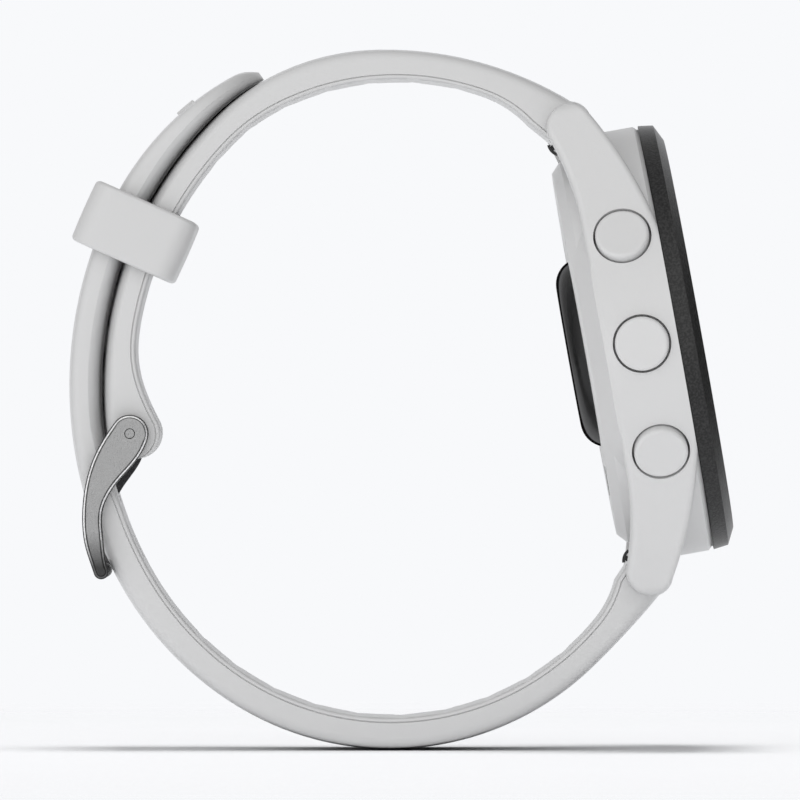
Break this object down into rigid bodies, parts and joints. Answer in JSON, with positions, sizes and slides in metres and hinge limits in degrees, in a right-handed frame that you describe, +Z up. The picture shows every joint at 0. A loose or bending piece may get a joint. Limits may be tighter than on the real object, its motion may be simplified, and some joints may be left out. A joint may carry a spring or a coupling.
{
  "type": "gps running watch",
  "caption": "Round running watch with side buttons, an optical sensor on its back and a two-piece strap closed in a loop by a tang buckle and a free keeper.",
  "frame": {"origin": "centre of the bounding box at the floor, under the lowest point of the strap loop", "axes": "+X away from the three-button side, along the strap's width; +Z up towards 12 o'clock; -Y the way the face looks, leaning back by 10.2 degrees"},
  "size_m": [0.0438, 0.0664, 0.0698],
  "materials": {
    "strap_silicone": "matte, moulded",
    "case_resin": "fine bead texture",
    "bezel_black": "fine grained, satin",
    "glass": "polished",
    "sensor_black": "polished",
    "button_resin": "satin",
    "buckle_steel": "bead blasted",
    "dark_steel": "satin black",
    "seal_rubber": "matte",
    "clip_steel": "bright",
    "circuit_board": "solder mask",
    "flex_film": "film",
    "display_black": "dark when off",
    "frame_black": "moulded",
    "battery_foil": "foil",
    "pad_foam": "foam",
    "motor_steel": "bright",
    "buzzer_brass": "bright",
    "switch_resin": "moulded",
    "emitter_resin": "clear"
  },
  "bodies": {
    "case": {"back_cover": "case_resin", "back_cover_gasket": "seal_rubber", "back_cover_screws": "buckle_steel", "battery": "battery_foil", "battery_pad": "pad_foam", "bezel": "bezel_black", "board_screws": "buckle_steel", "board_shields": "clip_steel", "buckle_pin": "buckle_steel", "button_switches": "switch_resin", "charge_contacts": "buzzer_brass", "charge_port": "frame_black", "cover_glass": "glass", "display_frame": "frame_black", "display_panel": "display_black", "glass_gasket": "seal_rubber", "gps_antenna": "frame_black", "lower_spring_bar": "buckle_steel", "lower_strap": "strap_silicone", "main_board": "circuit_board", "mid_case": "case_resin", "piezo_buzzer": "buzzer_brass", "sensor_board": "circuit_board", "sensor_leds": "emitter_resin", "sensor_window": "sensor_black", "side_flex_left": "flex_film", "side_flex_right": "flex_film", "upper_spring_bar": "buckle_steel", "upper_strap": "strap_silicone", "vibration_motor": "motor_steel"},
    "light_button": {"light_button": "button_resin", "light_button_clip": "clip_steel", "light_button_seal": "seal_rubber"},
    "up_button": {"up_button": "button_resin", "up_button_clip": "clip_steel", "up_button_seal": "seal_rubber"},
    "down_button": {"down_button": "button_resin", "down_button_clip": "clip_steel", "down_button_seal": "seal_rubber"},
    "start_button": {"start_button": "button_resin", "start_button_clip": "clip_steel", "start_button_seal": "seal_rubber"},
    "back_button": {"back_button": "button_resin", "back_button_clip": "clip_steel", "back_button_seal": "seal_rubber"},
    "buckle_frame": {"buckle_frame": "buckle_steel"},
    "buckle_prong": {"buckle_prong": "dark_steel"},
    "keeper": {"keeper": "strap_silicone"},
    "upper_release_lever": {"upper_release_lever": "dark_steel"},
    "lower_release_lever": {"lower_release_lever": "dark_steel"}
  },
  "joints": [
    {"name": "light_button_press", "type": "slide", "parent": "case", "child": "light_button", "axis": [0.866, -0.0885, -0.4921], "range_m": [0, 0.0006], "stiffness_N_per_m": 3000, "springref_m": -0.0003},
    {"name": "up_button_press", "type": "slide", "parent": "case", "child": "up_button", "axis": [1, 0, 0], "range_m": [0, 0.0006], "stiffness_N_per_m": 3000, "springref_m": -0.0003},
    {"name": "down_button_press", "type": "slide", "parent": "case", "child": "down_button", "axis": [0.866, 0.0885, 0.4921], "range_m": [0, 0.0006], "stiffness_N_per_m": 3000, "springref_m": -0.0003},
    {"name": "start_button_press", "type": "slide", "parent": "case", "child": "start_button", "axis": [-0.866, -0.0885, -0.4921], "range_m": [0, 0.0006], "stiffness_N_per_m": 3000, "springref_m": -0.0003},
    {"name": "back_button_press", "type": "slide", "parent": "case", "child": "back_button", "axis": [-0.866, 0.0885, 0.4921], "range_m": [0, 0.0006], "stiffness_N_per_m": 3000, "springref_m": -0.0003},
    {"name": "buckle_frame_swing", "type": "hinge", "parent": "case", "child": "buckle_frame", "pos_m": [0.00038, 0.02699, 0.03153], "axis": [1, 0, 0], "range_deg": [0, 1.5]},
    {"name": "buckle_prong_swing", "type": "hinge", "parent": "case", "child": "buckle_prong", "pos_m": [0.00038, 0.02699, 0.03153], "axis": [1, 0, 0], "range_deg": [0, 1.5]},
    {"name": "keeper_slide", "type": "hinge", "parent": "case", "child": "keeper", "pos_m": [0.00038, -0.00798, 0.03632], "axis": [1, 0, 0], "range_deg": [-5, 5]},
    {"name": "upper_lever_slide", "type": "slide", "parent": "case", "child": "upper_release_lever", "axis": [1, 0, 0], "range_m": [0, 0.0013], "stiffness_N_per_m": 700, "springref_m": -0.0012},
    {"name": "lower_lever_slide", "type": "slide", "parent": "case", "child": "lower_release_lever", "axis": [1, 0, 0], "range_m": [0, 0.0013], "stiffness_N_per_m": 700, "springref_m": -0.0012}
  ],
  "couplings": [
    {"joint": "buckle_prong_swing", "follows": "buckle_frame_swing", "ratio": 1}
  ]
}
